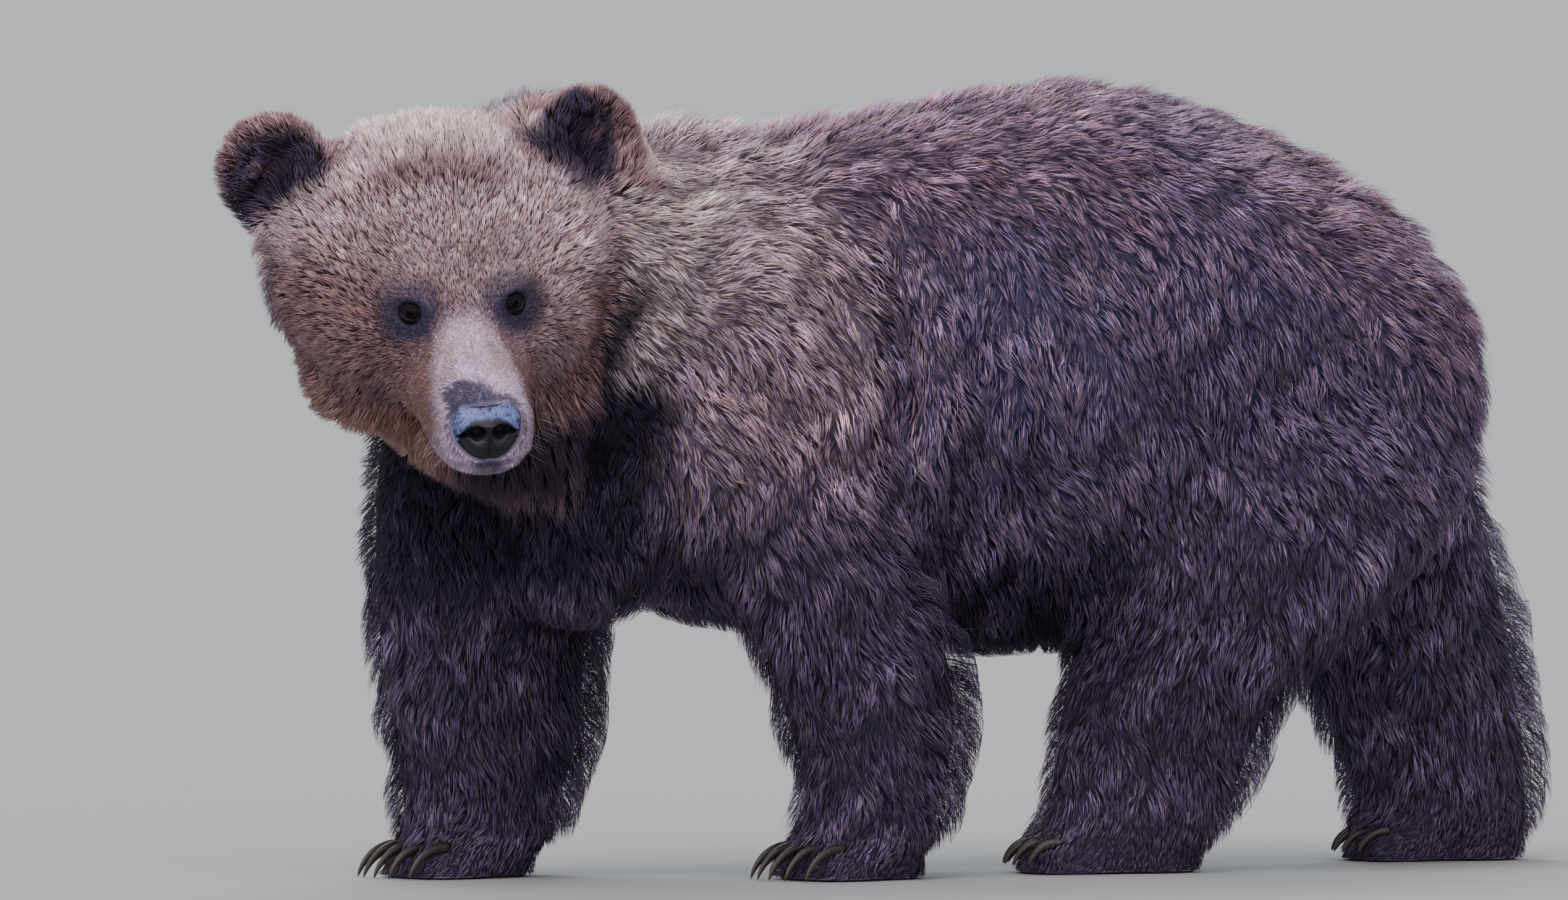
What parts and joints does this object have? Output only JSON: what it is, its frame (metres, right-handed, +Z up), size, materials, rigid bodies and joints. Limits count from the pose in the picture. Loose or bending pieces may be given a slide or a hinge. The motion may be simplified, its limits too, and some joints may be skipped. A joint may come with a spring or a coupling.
{
  "type": "brown bear figure",
  "caption": "Life-size still figure of a brown bear in mid stride on all fours, its head turned to its left and carried low.",
  "frame": {"origin": "middle of the bounding box in plan, on the floor under the soles", "axes": "+Z up, -Y the way the bear walks, +X to the bear's left"},
  "size_m": [0.6954, 1.7748, 0.9578],
  "materials": {
    "brown_coat": "dense fur, brown with paler tips on the head, neck and shoulders",
    "dark_coat": "dense fur, nearly black brown",
    "short_coat": "short close fur, greyish tan",
    "nose_skin": "moist bare skin, nearly black",
    "eyeball": "wet and glossy, red-brown iris",
    "claw_horn": "worn dark horn"
  },
  "bodies": {
    "root": {"head": "brown_coat", "neck": "brown_coat", "trunk": "brown_coat", "tail": "brown_coat", "ear_left": "brown_coat", "ear_right": "brown_coat", "muzzle": "short_coat", "lower_jaw": "short_coat", "foreleg_left_upper": "dark_coat", "foreleg_left_lower": "dark_coat", "foreleg_left_paw": "dark_coat", "foreleg_right_upper": "dark_coat", "foreleg_right_lower": "dark_coat", "foreleg_right_paw": "dark_coat", "hindleg_left_upper": "dark_coat", "hindleg_left_lower": "dark_coat", "hindleg_left_paw": "dark_coat", "hindleg_right_upper": "dark_coat", "hindleg_right_lower": "dark_coat", "hindleg_right_paw": "dark_coat", "nose": "nose_skin", "eye_left": "eyeball", "eye_right": "eyeball", "claw_foreleg_left_1": "claw_horn", "claw_foreleg_left_2": "claw_horn", "claw_foreleg_left_3": "claw_horn", "claw_foreleg_left_4": "claw_horn", "claw_foreleg_left_5": "claw_horn", "claw_foreleg_right_1": "claw_horn", "claw_foreleg_right_2": "claw_horn", "claw_foreleg_right_3": "claw_horn", "claw_foreleg_right_4": "claw_horn", "claw_foreleg_right_5": "claw_horn", "claw_hindleg_left_1": "claw_horn", "claw_hindleg_left_2": "claw_horn", "claw_hindleg_left_3": "claw_horn", "claw_hindleg_left_4": "claw_horn", "claw_hindleg_left_5": "claw_horn", "claw_hindleg_right_1": "claw_horn", "claw_hindleg_right_2": "claw_horn", "claw_hindleg_right_3": "claw_horn", "claw_hindleg_right_4": "claw_horn", "claw_hindleg_right_5": "claw_horn"}
  },
  "joints": []
}
